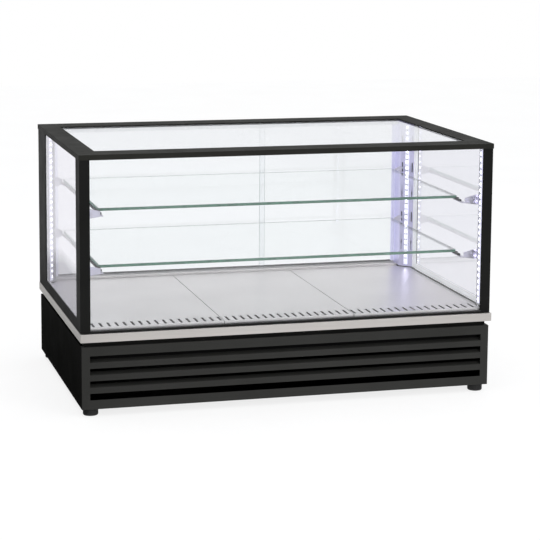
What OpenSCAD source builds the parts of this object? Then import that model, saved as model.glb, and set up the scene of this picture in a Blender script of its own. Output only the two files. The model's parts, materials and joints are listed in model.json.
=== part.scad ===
// Heated counter display case: glazed cabinet on a louvred base, with two glass shelves,
// three deck trays and two sliding doors at the back.
// The front faces -Y. The origin is on the ground, under the centre of the footprint.

/* [Case] */
// Overall width, across the steel band
case_w = 1180; // [1120:10:1280]
// Overall depth, from the front of the band to the back
case_d = 745; // [720:5:800]
// Overall height, feet included
case_h = 714.5; // [680:0.5:760]
// How far the steel band stands in front of the glazed frame
band_out = 10; // [6:1:12]

/* [Base] */
// Height of the feet
foot_h = 20; // [15:1:30]
// Diameter of the feet
foot_d = 42; // [36:1:46]
// Height of the base above the feet
base_h = 173; // [160:1:190]
// Height of the recess between base and band
neck_h = 14; // [10:1:18]
// Height of the steel band
band_h = 23; // [18:1:28]
// Height of one grille opening
slot_h = 18; // [14:1:22]
// Distance from one grille opening to the next
slot_pitch = 34.6; // [32:0.2:36]
// Thickness of the folded sheet
sheet = 1.5; // [1:0.1:2]

/* [Cabinet] */
// Face width of the front posts
post_w = 28; // [24:1:32]
// Depth of the front posts, seen from the side
post_front_d = 62; // [58:1:70]
// Depth of the rear posts, seen from the side
post_rear_d = 135; // [125:1:140]
// Thickness of the post legs that hold the glass
leg_t = 10; // [9:0.5:12]
// Width of the top frame along the sides
rail_side = 56; // [50:1:64]
// Width of the top frame along the front
rail_front = 80; // [70:1:86]
// Width of the top frame along the back
rail_rear = 82; // [80:1:90]
// Thickness of the fixed glass
glass_t = 6; // [5:0.5:6]
// Height of the front sill under the glass
sill_front_h = 4; // [4:1:12]
// Height of the side sills under the glass
sill_side_h = 30; // [20:1:36]

/* [Shelves and deck] */
// Height of the underside of the upper shelf
upper_z = 547; // [530:1:560]
// Height of the underside of the lower shelf
lower_z = 390; // [370:1:400]
// Width of the shelves
shelf_w = 1040; // [1020:2:1044]
// Depth of the shelves
shelf_d = 568; // [540:2:570]
// Distance from the frame's front to the shelves
shelf_front = 100; // [90:1:110]
// Height of the deck above the ground
deck_z = 243; // [242:0.5:245]
// Air slots along the front of each deck tray
tray_slots = 17; // [8:1:17]

/* [Doors] */
// Where the left door ends, right of the centre
door_left_end = 110; // [20:1:110]
// Overlap of the two doors
door_lap = 12; // [8:1:40]

/* [Hidden] */
$fn = 48;

// Lengths along Y are counted from the front of the glazed frame
frame_y = band_out - case_d / 2;
frame_d = case_d - band_out;
half_w = case_w / 2;
eps = 0.01;

// Levels
base_z = foot_h;
neck_z = base_z + base_h;
band_z = neck_z + neck_h;
post_z = band_z + band_h;
rail_z = case_h - 14.5;
rail_top_t = 4;
fascia_t = 1.5;
top_glass_z = case_h - rail_top_t - glass_t;

// Base
base_half = half_w - 4;
base_back = frame_d - 4;
flange = 12;
grille_side = 23;
slot_z0 = base_z + 25.5;
slot_count = 4;
blade_depth = 18;
blade_rise = 6.4;
foot_x = base_half - 28;
foot_front = 26;
foot_rear = base_back - 31;
rear_panel_y = base_back - 21;

// Band and neck
neck_half = half_w - 12;
neck_t = 5.5;
neck_front = 12;
neck_back = 706;
joint = 0.2;
band_reach = 30;

// Tub, fans and heater
tub_half = half_w - 31.5;
tub_front = 21;
tub_back = 655;
tub_z = 150;
rim_z = post_z;
rim_half = half_w - 13.5;
fan_x = 260;
fan_y = 340;
fan_r = 60;
fan_z = tub_z + 2;
shaft_r = 3;
run_gap = 0.05;
element_r = 4;
element_z = 192;
element_rows = [200, 290, 380, 470];
element_run = 400;
element_bend = 45;
element_end = 440;

// Posts and glass
post_half = half_w - fascia_t;
groove = glass_t + 0.4;
groove_deep = 8;
groove_lip = (leg_t - groove) / 2;
post_in = post_half - leg_t;
rear_post_y = frame_d - post_rear_d;
door_jamb = 545;
jamb_y = 660;
side_y = jamb_y - (post_in - door_jamb);

// Uprights
web_half = 568;
web_y = 28;
web_d = 28;
web_t = 1.2;
upright_z = deck_z + 2;
upright_top = top_glass_z - 1.5;
facet_w = (post_in - door_jamb) * sqrt(2);
hole_w = 4;
hole_l = 30;
hole_lift = 14;
hole_front_y = web_y + 22;
hole_side = 17;
led_w = 12;
led_t = 2;

// Shelves
shelf_t = 8;
shelf_half = shelf_w / 2;
hole_pitch = (upper_z - lower_z) / 2;
rest_w = 8;
rest_drop = 7;
rest_front = 75;
tongue_t = 2;
tongue_d = 20;
stop_t = 3.5;
gusset_t = 1.8;
corner_r = 4;
bracket_x = shelf_half + rest_w / 2;
front_root = web_half - 2 - bracket_x;
rear_hole_x = post_in - (facet_w / 2 + hole_side) / sqrt(2);
rear_hole_y = side_y + (facet_w / 2 + hole_side + web_t / 2) / sqrt(2);
rear_root = rear_hole_x - bracket_x - 3;

// Deck
tray_half = half_w - 18;
seam = 187;
tray_gap = 2;
tray_front = 15;
tray_back = 674;
tray_rest = 0.3;
air_w = 7;
air_l = 50;
air_pitch_mid = 21.4;
air_pitch_side = 22.1;
air_y = 22;
air_margin = 6;

// Doors
door_t = 5;
door_half = door_jamb - 2;
door_front_y = 690;
door_rear_y = 706;
door_z = post_z + 8;
door_top = case_h - 19;
track_y = 680;
track_d = 42;
sill_y = 676;
sill_d = 56;
sill_top = deck_z + 6;
door_right_start = door_left_end - door_lap;

// Controls
ctrl_x = 380;
ctrl_z = 112;
ctrl_w = 250;
ctrl_h = 96;
plate_y = rear_panel_y + sheet;
knob_x = ctrl_x + 72;
power_x = ctrl_x - 84;
light_x = ctrl_x - 44;
rocker_y = plate_y + 3;
plate_screws = [for (s = [-1, 1]) ctrl_x + s * (ctrl_w / 2 - 8)];
rocker_tilt = 8;
gland_x = -470;
gland_z = 62;
gland_bore = 4;
screw_r = 2;
screw_hole = 2.2;
foot_bolt_r = 2.5;
panel_screws = [for (x = [-560, -280, 0, 560], z = [base_z + 10, neck_z - 12]) [x, z]];

module at_frame() translate([0, frame_y, 0]) children();
module both_sides() { children(); mirror([1, 0, 0]) children(); }
module box(low, high) translate(low) cube(high - low);
// Extrudes an outline in the YZ plane along X
module along_x(x0, x1) translate([x0, 0, 0]) rotate([90, 0, 90]) linear_extrude(x1 - x0) children();
// Extrudes an outline in the XZ plane along Y
module along_y(y0, y1) translate([0, y1, 0]) rotate([90, 0, 0]) linear_extrude(y1 - y0) children();
// Round rod from one point to another
module rod(a, b, r) {
    d = b - a;
    translate(a) rotate([0, acos(d[2] / norm(d)), atan2(d[1], d[0])]) cylinder(r = r, h = norm(d));
}
module rounded(w, d, r) {
    translate([r, 0]) square([w - 2 * r, d]);
    translate([0, r]) square([w, d - 2 * r]);
    for (x = [r, w - r], y = [r, d - r]) translate([x, y]) circle(r);
}

// ---- Base ----

module foot() {
    edge = 4;
    rotate_extrude() union() {
        translate([7, 0]) square([foot_d / 2 - edge - 7, foot_h]);
        translate([7, edge]) square([foot_d / 2 - 7, foot_h - edge]);
        translate([foot_d / 2 - edge, edge]) circle(edge);
        translate([2.6, 6]) square([5, foot_h - 6]);
    }
}
module feet() color("#141414") at_frame() both_sides() for (y = [foot_front, foot_rear])
    translate([foot_x, y, 0]) foot();

module base_pan() color("#3a3a3a") at_frame() difference() {
    half = base_half - sheet - 0.3;
    union() {
        box([-half, sheet + 0.3, base_z], [half, rear_panel_y - 0.2, base_z + sheet]);
        for (s = [-1, 1])
            box([s > 0 ? half - sheet : -half, sheet + 0.3, base_z],
                [s > 0 ? half : sheet - half, rear_panel_y - 0.2, base_z + 24]);
        box([-half, rear_panel_y - 0.2 - sheet, base_z], [half, rear_panel_y - 0.2, base_z + 18]);
    }
    for (x = [-foot_x, foot_x], y = [foot_front, foot_rear])
        translate([x, y, base_z - 1]) cylinder(r = 3, h = sheet + 2);
    for (x = [-400 : 40 : 400], y = [180, 480])
        box([x - 4, y, base_z - 1], [x + 4, y + 60, base_z + sheet + 1]);
    for (p = panel_screws)
        translate([p[0], rear_panel_y - 5, p[1]]) rotate([-90, 0, 0]) cylinder(r = screw_hole, h = 6);
}

module side_panel() at_frame() {
    box([base_half - sheet, sheet + 0.1, base_z], [base_half, base_back, neck_z]);
    box([base_half - flange, sheet + 20, neck_z - sheet], [base_half - sheet, 712, neck_z]);
    box([base_half - flange, base_back - sheet, base_z], [base_half - sheet, base_back, neck_z]);
}
module side_panel_left() color("#121212") mirror([1, 0, 0]) side_panel();
module side_panel_right() color("#121212") side_panel();

module front_grille() color("#3a3a38") at_frame() {
    open_half = base_half - grille_side;
    difference() {
        box([-base_half, 0, base_z], [base_half, sheet, neck_z]);
        for (i = [0 : slot_count - 1])
            box([-open_half, -1, slot_z0 + i * slot_pitch],
                [open_half, sheet + 1, slot_z0 + i * slot_pitch + slot_h]);
    }
    box([sheet - base_half, sheet, neck_z - sheet], [base_half - sheet, 19.8, neck_z]);
    box([-base_half + sheet + 2, sheet, base_z + sheet + 0.2],
        [base_half - sheet - 2, 14, base_z + 2 * sheet + 0.2]);
}

module grille_slats() color("#2c2c2b") at_frame() {
    half = base_half - grille_side + 8;
    for (i = [1 : slot_count - 1])
        along_x(-half, half) translate([sheet, slot_z0 + i * slot_pitch])
            polygon([[0, -8], [sheet, -8], [sheet, -sheet], [blade_depth, blade_rise - sheet],
                [blade_depth, blade_rise], [0, 0]]);
}

module rear_panel() color("#2a2a2a") at_frame() difference() {
    half = base_half - sheet - 0.3;
    union() {
        box([-half, rear_panel_y, base_z + 2], [half, rear_panel_y + sheet, neck_z - 2]);
        box([-half, rear_panel_y - 10, neck_z - 2 - sheet], [half, rear_panel_y, neck_z - 2]);
    }
    for (x = [-360 : 14 : -136], z = [base_z + 34, base_z + 100])
        box([x, rear_panel_y - 1, z], [x + 6, rear_panel_y + sheet + 1, z + 44]);
    box([ctrl_x - ctrl_w / 2 + 14, rear_panel_y - 1, ctrl_z - ctrl_h / 2 + 12],
        [ctrl_x + ctrl_w / 2 - 14, rear_panel_y + sheet + 1, ctrl_z + ctrl_h / 2 - 12]);
    translate([gland_x, rear_panel_y - 1, gland_z]) rotate([-90, 0, 0]) cylinder(r = 8, h = 4);
    for (p = concat(panel_screws, [for (x = plate_screws) [x, ctrl_z]]))
        translate([p[0], rear_panel_y - 1, p[1]]) rotate([-90, 0, 0]) cylinder(r = screw_hole, h = 4);
}

module control_plate() color("#c8c8c6") at_frame() difference() {
    translate([ctrl_x - ctrl_w / 2, 0, ctrl_z - ctrl_h / 2])
        along_y(plate_y, plate_y + 2) rounded(ctrl_w, ctrl_h, 6);
    for (x = [power_x, light_x])
        box([x - 9.2, plate_y - 1, ctrl_z - 13.2], [x + 9.2, plate_y + 3, ctrl_z + 13.2]);
    translate([knob_x, plate_y - 1, ctrl_z]) rotate([-90, 0, 0]) cylinder(r = 5.2, h = 4);
    for (x = plate_screws)
        translate([x, plate_y - 1, ctrl_z]) rotate([-90, 0, 0]) cylinder(r = screw_hole, h = 4);
}

module cable_gland() color("#1a1a1a") at_frame() translate([gland_x, 0, gland_z]) rotate([-90, 0, 0])
    difference() {
        union() {
            translate([0, 0, rear_panel_y - 14]) cylinder(r = 7.8, h = 16);
            translate([0, 0, rear_panel_y - 6]) cylinder(r = 13, h = 6, $fn = 6);
            translate([0, 0, rear_panel_y + sheet]) cylinder(r = 13, h = 6, $fn = 6);
            translate([0, 0, rear_panel_y + sheet + 6]) cylinder(r1 = 11, r2 = 8, h = 12);
        }
        translate([0, 0, rear_panel_y - 15]) cylinder(r = gland_bore, h = 40);
    }

// Pan head screw along +Y, with its head standing on the plane y
module screw(x, y, z) translate([x, y, z]) rotate([-90, 0, 0]) {
    cylinder(r = 2 * screw_r, h = screw_r);
    translate([0, 0, -8]) cylinder(r = screw_r, h = 8 + eps);
}
module screws() color("#b8b8b8") at_frame() {
    for (p = panel_screws) screw(p[0], plate_y, p[1]);
    for (x = plate_screws) screw(x, plate_y + 2, ctrl_z);
    for (x = [-foot_x, foot_x], y = [foot_front, foot_rear]) {
        translate([x, y, 2]) cylinder(r = 5, h = 4);
        translate([x, y, 6 - eps]) cylinder(r = foot_bolt_r, h = base_z + 4);
    }
}

// ---- Band and neck ----

module neck_frame() color("#101010") at_frame() {
    both_sides() box([neck_half - neck_t, neck_front, neck_z], [neck_half, neck_back, band_z]);
    for (y = [neck_front, neck_back - neck_t])
        box([neck_t + joint - neck_half, y, neck_z], [neck_half - neck_t - joint, y + neck_t, band_z]);
}

// Folded channel: outer face at 0, open towards +Y, lengthwise along X
module band_profile() difference() {
    square([band_reach, band_h]);
    translate([sheet, sheet]) square([band_reach, band_h - 2 * sheet]);
}
module trim_front() color("#c9c8c5") at_frame() intersection() {
    translate([0, -band_out, band_z]) along_x(-half_w, half_w) band_profile();
    translate([0, -band_out, band_z - 1]) linear_extrude(band_h + 2)
        polygon([[-half_w, 0], [half_w, 0], [half_w - band_reach, band_reach],
            [band_reach - half_w, band_reach]]);
}
module trim_sides() color("#c9c8c5") at_frame() both_sides() intersection() {
    translate([half_w, -band_out, band_z]) rotate([0, 0, 90]) along_x(0, case_d) band_profile();
    translate([0, -band_out, band_z - 1]) linear_extrude(band_h + 2)
        polygon([[half_w, 0.02], [half_w, case_d], [half_w - band_reach, case_d],
            [half_w - band_reach, band_reach + 0.02]]);
}

// ---- Air and heat ----

module floor_tub() color("#b9babb") at_frame() difference() {
    union() {
        box([-tub_half, tub_front, tub_z], [tub_half, tub_back, rim_z + eps]);
        box([-rim_half, neck_front, rim_z], [rim_half, tub_back, rim_z + sheet]);
    }
    box([-tub_half + sheet, tub_front + sheet, tub_z + sheet],
        [tub_half - sheet, tub_back - sheet, rim_z + 9]);
    both_sides() translate([fan_x, fan_y, tub_z - 1]) cylinder(r = fan_r + 5, h = 9);
    both_sides() translate([fan_x, fan_y - 84, tub_z - 1]) cylinder(r = 2.2, h = 9);
    both_sides() translate([fan_x, fan_y + 84, tub_z - 1]) cylinder(r = 2.2, h = 9);
    translate([ctrl_x, 560, tub_z - 1]) cylinder(r = 5, h = 9);
    for (y = [element_rows[0], element_rows[3]])
        translate([-element_end, y, tub_z - 1]) cylinder(r = 7, h = 9);
}

module u_bend(x, y, turn) translate([x, y, element_z]) rotate([0, 0, turn])
    rotate_extrude(angle = 180) translate([element_bend, 0]) circle(element_r);
module heating_element() color("#8a6a5a") at_frame() {
    for (y = element_rows)
        rod([-element_run, y, element_z], [element_run, y, element_z], element_r);
    for (i = [0, 2])
        u_bend(element_run, element_rows[i] + element_bend, -90);
    u_bend(-element_run, element_rows[1] + element_bend, 90);
    for (y = [element_rows[0], element_rows[3]]) {
        rod([-element_end, y, element_z], [-element_run, y, element_z], element_r);
        translate([-element_end, y, element_z]) sphere(element_r);
        rod([-element_end, y, tub_z - 12], [-element_end, y, element_z], element_r);
        translate([-element_end, y, tub_z + sheet]) cylinder(r = 10, h = 3);
    }
}

module fan_motors() color("#6f7276") at_frame() both_sides() translate([fan_x, fan_y, 0]) {
    translate([0, 0, fan_z - 58]) cylinder(r = 34, h = 46);
    translate([0, 0, fan_z - 14]) cylinder(r = 8, h = 4);
    translate([0, 0, fan_z - 12]) cylinder(r = shaft_r, h = 26);
    box([-10, -92, fan_z - 14], [10, 92, fan_z - 12]);
    for (s = [-1, 1]) box([-10, s > 0 ? 90 : -92, fan_z - 14], [10, s > 0 ? 92 : -90, tub_z]);
    for (s = [-1, 1]) box([-10, s > 0 ? 76 : -92, tub_z - 2], [10, s > 0 ? 92 : -76, tub_z]);
}

module fan_rotor(side) at_frame() translate([side * fan_x, fan_y, fan_z - 8]) difference() {
    union() {
        cylinder(r = 16, h = 18);
        intersection() {
            cylinder(r = fan_r, h = 18);
            for (i = [0 : 4]) rotate([0, 0, i * 72]) translate([0, 0, 9]) rotate([side * 32, 0, 0])
                box([10, -15, -0.8], [fan_r + 4, 15, 0.8]);
        }
    }
    translate([0, 0, -1]) cylinder(r = shaft_r + run_gap, h = 30);
}
module fan_rotor_left() color("#9a9da0") fan_rotor(-1);
module fan_rotor_right() color("#9a9da0") fan_rotor(1);

module thermostat() color("#e4e2da") at_frame() {
    box([knob_x - 22, plate_y - 42, ctrl_z - 18], [knob_x + 22, plate_y - 2, ctrl_z + 18]);
    translate([knob_x, plate_y - 2 - eps, ctrl_z]) rotate([-90, 0, 0]) cylinder(r = 5, h = 4.5);
    translate([knob_x, plate_y, ctrl_z]) rotate([-90, 0, 0]) cylinder(r = shaft_r, h = 14);
}

module temperature_probe() color("#c08a50") at_frame() {
    back = plate_y - 42;
    route = [[knob_x - 12, back, ctrl_z], [knob_x - 12, 600, ctrl_z], [ctrl_x, 600, ctrl_z],
        [ctrl_x, 560, ctrl_z], [ctrl_x, 560, tub_z + 20]];
    for (i = [0 : 3]) rod(route[i], route[i + 1], 1.5);
    for (i = [1 : 3]) translate(route[i]) sphere(1.5);
    translate([ctrl_x, 560, tub_z + 18]) cylinder(r = 3, h = 50);
}

module terminal_block() color("#e8e6df") at_frame() difference() {
    box([-440, 560, base_z + sheet], [-350, 590, base_z + sheet + 24]);
    for (x = [-430 : 14 : -360]) {
        translate([x, 575, base_z + 12]) cylinder(r = 3, h = 20);
        translate([x, 559, base_z + 12]) rotate([-90, 0, 0]) cylinder(r = screw_hole, h = 9);
    }
}

module led_driver() color("#cfd2d4") at_frame() difference() {
    union() {
        box([-60, 560, base_z + sheet], [100, 600, base_z + sheet + 32]);
        box([-72, 560, base_z + sheet], [112, 600, base_z + 2 * sheet]);
    }
    for (x = [-66, 106]) translate([x, 580, base_z]) cylinder(r = 2.2, h = 8);
}

// ---- Controls ----

module thermostat_knob() color("#161616") at_frame() translate([knob_x, plate_y + 2.5, ctrl_z])
    rotate([-90, 0, 0]) difference() {
        union() {
            cylinder(r = 20, h = 4);
            cylinder(r = 17, h = 13);
            translate([-2.5, -17.5, 0]) cube([5, 35, 15]);
        }
        translate([0, 0, -1]) cylinder(r = shaft_r + run_gap, h = 13.6);
    }

module rocker(x) at_frame() translate([x, rocker_y, ctrl_z]) rotate([rocker_tilt, 0, 0]) difference() {
    along_x(-6.2, 6.2) polygon([[-5, -3], [-2, -9], [2.4, -9.4], [1, 0], [2.4, 9.4], [-2, 9], [-5, 3]]);
    translate([-8, -1.5, 0]) rotate([0, 90, 0]) cylinder(r = 1 + run_gap, h = 16);
}
module power_rocker() color("#b02018") rocker(power_x);
module light_rocker() color("#b02018") rocker(light_x);

module switch_frame(x) at_frame() translate([x, 0, ctrl_z]) {
    difference() {
        union() {
            box([-9, plate_y - 20, -13], [9, plate_y + 2, 13]);
            box([-11, plate_y + 2, -15], [11, plate_y + 4, 15]);
        }
        box([-6.6, plate_y - 9, -10.8], [6.6, plate_y + 5, 10.8]);
    }
    pin_y = rocker_y - 1.5 * cos(rocker_tilt);
    pin_z = -1.5 * sin(rocker_tilt);
    translate([-8, pin_y, pin_z]) rotate([0, 90, 0]) cylinder(r = 1, h = 16);
}
module switch_frames() color("#1c1c1c") for (x = [power_x, light_x]) switch_frame(x);

// ---- Glazed cabinet ----

module sill_front() color("#161616") at_frame() difference() {
    x = post_half - post_w;
    box([-x, fascia_t, post_z], [x, fascia_t + leg_t, post_z + sill_front_h]);
    box([-x - 1, fascia_t + groove_lip, post_z + 2],
        [x + 1, fascia_t + groove_lip + groove, post_z + sill_front_h + 1]);
}
module side_sills() color("#161616") at_frame() both_sides() difference() {
    box([post_in, post_front_d, post_z], [post_half, rear_post_y, post_z + sill_side_h]);
    box([post_in + groove_lip, post_front_d - 1, post_z + sill_side_h - groove_deep],
        [post_in + groove_lip + groove, rear_post_y + 1, post_z + sill_side_h + 1]);
}
module side_liners() color("#d5d6d8") at_frame() both_sides() {
    x = post_in;
    box([x - 1, post_front_d + 2, rim_z + sheet + 0.3], [x, rear_post_y - 2, post_z + sill_side_h + 1]);
    box([x - 1, post_front_d + 2, post_z + sill_side_h],
        [x + groove_lip, rear_post_y - 2, post_z + sill_side_h + 1]);
    box([x - 1, rear_post_y, upright_z], [x, side_y - 0.3, upright_top]);
}

module front_post() at_frame() difference() {
    x = post_half - post_w;
    union() {
        box([x, fascia_t, post_z], [post_half, fascia_t + leg_t, top_glass_z]);
        box([post_in, fascia_t, post_z], [post_half, post_front_d, top_glass_z]);
    }
    box([x - 1, fascia_t + groove_lip, post_z + 2],
        [x + groove_deep, fascia_t + groove_lip + groove, top_glass_z + 1]);
    box([post_in + groove_lip, post_front_d - groove_deep, post_z + 2],
        [post_in + groove_lip + groove, post_front_d + 1, top_glass_z + 1]);
}
module post_front_left() color("#161616") mirror([1, 0, 0]) front_post();
module post_front_right() color("#161616") front_post();

module rear_post() at_frame() {
    wall = 2;
    difference() {
        box([post_in, rear_post_y, post_z], [post_half, frame_d - fascia_t, top_glass_z]);
        box([post_in + groove_lip, rear_post_y - 1, post_z + 2],
            [post_in + groove_lip + groove, rear_post_y + groove_deep, top_glass_z + 1]);
    }
    difference() {
        box([door_jamb + web_t + 0.3, jamb_y + 8, post_z], [post_in + eps, frame_d - fascia_t, top_glass_z]);
        box([door_jamb + web_t + 0.3 + wall, jamb_y + 8 + wall, post_z - 1],
            [post_in - wall, frame_d - fascia_t - wall, top_glass_z + 1]);
    }
    box([door_jamb + web_t + 0.3, sill_y + 2, band_z + sheet + 0.3],
        [tub_half, sill_y + sill_d, post_z + eps]);
}
module post_rear_left() color("#161616") mirror([1, 0, 0]) rear_post();
module post_rear_right() color("#161616") rear_post();

// One side of the top frame: a plate w wide and l long with a fascia along its outer edge,
// mitred to the neighbours' widths a and b
module top_rail(l, w, a, b) intersection() {
    union() {
        box([0, 0, case_h - rail_top_t], [l, w, case_h]);
        box([0, 0, rail_z], [l, fascia_t, case_h]);
    }
    translate([0, 0, rail_z - 1]) linear_extrude(case_h - rail_z + 2)
        polygon([[0, 0], [l, 0], [l - b, w], [a, w]]);
}
module top_rail_front() color("#33332f") at_frame() translate([-half_w, 0, 0])
    top_rail(case_w, rail_front, rail_side, rail_side);
module top_rail_rear() color("#33332f") at_frame() translate([half_w, frame_d, 0]) rotate([0, 0, 180])
    top_rail(case_w, rail_rear, rail_side, rail_side);
module top_rail_left() color("#33332f") at_frame() translate([-half_w, frame_d, 0]) rotate([0, 0, -90])
    top_rail(frame_d, rail_side, rail_rear, rail_front);
module top_rail_right() color("#33332f") at_frame() translate([half_w, 0, 0]) rotate([0, 0, 90])
    top_rail(frame_d, rail_side, rail_front, rail_rear);

module top_glass() color("#dfe8e4", 0.3) at_frame()
    box([-half_w + 2.5, 2.5, top_glass_z], [half_w - 2.5, frame_d - 2.5, top_glass_z + glass_t]);
module front_glass() color("#dfe8e4", 0.3) at_frame() {
    x = post_half - post_w + groove_deep - 0.5;
    y = fascia_t + groove_lip + 0.2;
    box([-x, y, post_z + 2.5], [x, y + glass_t, top_glass_z - 0.5]);
}
module side_glass() at_frame() {
    x = post_in + groove_lip + 0.2;
    box([x, post_front_d - groove_deep + 0.5, post_z + sill_side_h - groove_deep + 0.5],
        [x + glass_t, rear_post_y + groove_deep - 0.5, top_glass_z - 0.5]);
}
module left_glass() color("#dfe8e4", 0.3) mirror([1, 0, 0]) side_glass();
module right_glass() color("#dfe8e4", 0.3) side_glass();

// ---- Slotted uprights, lights and shelf brackets ----

function hole_rows() = [for (i = [-1 : 3]) upper_z + hole_lift - i * hole_pitch];

module upright_front() at_frame() difference() {
    union() {
        box([web_half, web_y, upright_z], [web_half + web_t, web_y + web_d, upright_top]);
        for (y = [web_y, web_y + web_d - web_t])
            box([web_half, y, upright_z], [post_in, y + web_t, upright_top]);
    }
    for (z = hole_rows())
        box([web_half - 1, hole_front_y - hole_w / 2, z - hole_l / 2],
            [web_half + 3, hole_front_y + hole_w / 2, z + hole_l / 2]);
}
module upright_front_left() color("#b4b4ba") mirror([1, 0, 0]) upright_front();
module upright_front_right() color("#b4b4ba") upright_front();

// Moves a shape drawn along +X onto the slanted face of the rear upright, starting at the side
module on_facet() translate([post_in, side_y, 0]) rotate([0, 0, 135]) children();
module upright_rear() at_frame() difference() {
    back = frame_d - 16;
    translate([0, 0, upright_z]) linear_extrude(upright_top - upright_z)
        polygon([[post_in, side_y], [door_jamb, jamb_y], [door_jamb, back], [door_jamb + web_t, back],
            [door_jamb + web_t, jamb_y + web_t * (sqrt(2) - 1)], [post_in, side_y + web_t * sqrt(2)]]);
    on_facet() for (z = hole_rows(), s = [-1, 1])
        box([facet_w / 2 + s * hole_side - hole_w / 2, -web_t - 1, z - hole_l / 2],
            [facet_w / 2 + s * hole_side + hole_w / 2, 1, z + hole_l / 2]);
}
module upright_rear_left() color("#b4b4ba") mirror([1, 0, 0]) upright_rear();
module upright_rear_right() color("#b4b4ba") upright_rear();

module led_strips() color("#f4f4ff") at_frame() both_sides() {
    box([web_half - led_t, web_y + 3, upright_z + 6], [web_half, web_y + 3 + led_w, upright_top - 10]);
    on_facet() box([facet_w / 2 - led_w / 2, 0, upright_z + 6],
        [facet_w / 2 + led_w / 2, led_t, upright_top - 10]);
}

// Vertical plate that tapers from the upright to the rest under the shelf.
// It is drawn in the XZ plane with the tip at x = 0, and root is its length to the upright.
module gusset(root, z) translate([0, 0, z]) rotate([90, 0, 0]) linear_extrude(gusset_t, center = true)
    polygon([[0, -rest_drop], [0, shelf_t], [root - 8, 16], [root, 16], [root, 14], [root + 6, 14],
        [root + 6, 8], [root + 2, 8], [root + 2, 6], [root, 6], [root, -12], [root - 8, -12]]);
// Flat bar under the rest rail, joined to the gusset's tip
module tongue(y0, y1, z) translate([0, 0, z - rest_drop])
    box([bracket_x - rest_w, y0, 0], [bracket_x + 2, y1, tongue_t]);
module brackets(z) at_frame() both_sides() {
    translate([bracket_x, hole_front_y, 0]) gusset(front_root, z);
    tongue(hole_front_y - gusset_t / 2, shelf_front + tongue_d, z);
    translate([bracket_x, rear_hole_y, 0]) gusset(rear_root, z);
    tongue(rear_hole_y - 2 * tongue_d, rear_hole_y + gusset_t / 2, z);
}
module brackets_upper() color("#b9b6cc") brackets(upper_z);
module brackets_lower() color("#b9b6cc") brackets(lower_z);

// Dark rails under the shelf ends, with a low step at the front that stops the glass
module bracket_rests() color("#26262a") at_frame() both_sides() for (z = [upper_z, lower_z])
    translate([bracket_x - rest_w, 0, z]) {
        stop_y = shelf_front - 0.5;
        low = tongue_t - rest_drop;
        box([0, rest_front, low], [rest_w, rear_hole_y + gusset_t / 2, -0.3]);
        box([0, stop_y - stop_t, low], [rest_w, stop_y, 3]);
    }

module shelf(z) at_frame() translate([-shelf_half, shelf_front, z])
    linear_extrude(shelf_t) rounded(shelf_w, shelf_d, corner_r);
module shelf_upper() color("#9fc4b4", 0.5) shelf(upper_z);
module shelf_lower() color("#9fc4b4", 0.5) shelf(lower_z);

// ---- Deck ----

module tray_outline(side) {
    inner = seam + tray_gap / 2;
    notch = web_half - led_t - 2;
    clear = 4;
    if (side == 0) translate([-seam + tray_gap / 2, tray_front])
        square([2 * seam - tray_gap, tray_back - tray_front]);
    else mirror([side < 0 ? 1 : 0, 0]) polygon([[inner, tray_front], [notch, tray_front],
        [notch, web_y + web_d + 3], [tray_half, web_y + web_d + 3],
        [tray_half, side_y + post_in - tray_half - 1.5 * clear],
        [door_jamb - clear, jamb_y - clear], [door_jamb - clear, tray_back], [inner, tray_back]]);
}
module tray(side) at_frame() {
    low = rim_z + sheet + tray_rest;
    inner = side == 0 ? -seam + tray_gap / 2 : seam + tray_gap / 2;
    outer = side == 0 ? seam - tray_gap / 2 : web_half - led_t - 2;
    air_pitch = side == 0 ? air_pitch_mid : air_pitch_side;
    first = side == 0 ? -(tray_slots - 1) / 2 * air_pitch : inner + air_margin;
    turn = side < 0 ? -1 : 1;
    difference() {
        translate([0, 0, deck_z - sheet]) linear_extrude(sheet) tray_outline(side);
        for (i = [0 : tray_slots - 1])
            translate([turn * (first + i * air_pitch), air_y, deck_z - 2 * sheet])
                translate([-air_w / 2, 0, 0]) cube([air_w, air_l, 3 * sheet]);
    }
    mirror([side < 0 ? 1 : 0, 0, 0]) {
        box([inner, tray_front, low], [outer, tray_front + sheet, deck_z - eps]);
        box([inner, tray_back - sheet, low + 8],
            [side == 0 ? outer : door_jamb - 4, tray_back, deck_z - eps]);
        box([inner, tray_front, low], [inner + sheet, tub_back - 1, deck_z - eps]);
        box([side == 0 ? outer - sheet : tray_half - sheet, web_y + web_d + 3, low],
            [side == 0 ? outer : tray_half, jamb_y - 70, deck_z - eps]);
    }
}
module tray_left() color("#cfcfce") tray(-1);
module tray_centre() color("#cfcfce") tray(0);
module tray_right() color("#cfcfce") tray(1);

// ---- Sliding doors ----

module door_track_top() color("#3c3c3a") at_frame() {
    z = top_glass_z;
    box([-door_half, track_y, z - 2], [door_half, track_y + track_d, z]);
    for (y = [track_y, door_front_y + door_t + 4.5, track_y + track_d - 2])
        box([-door_half, y, door_top - 8], [door_half, y + 2, z - 2 + eps]);
}
module door_track_bottom() color("#a9abad") at_frame() difference() {
    box([-door_half, sill_y, band_z + sheet], [door_half, sill_y + sill_d, sill_top]);
    for (y = [door_front_y, door_rear_y])
        box([-door_half - 1, y - 2, door_z - 4], [door_half + 1, y + door_t + 2, sill_top + 1]);
    box([-door_half - 1, sill_y + 2, band_z + sheet - 1], [door_half + 1, sill_y + sill_d - 2, door_z - 7]);
}

module door_pane(x0, x1, y) at_frame() box([x0, y, door_z], [x1, y + door_t, door_top]);
module door_left() color("#dfe8e4", 0.3) door_pane(-door_half + 2, door_left_end, door_front_y);
module door_right() color("#dfe8e4", 0.3) door_pane(door_right_start, door_half - 2, door_rear_y);

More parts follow.
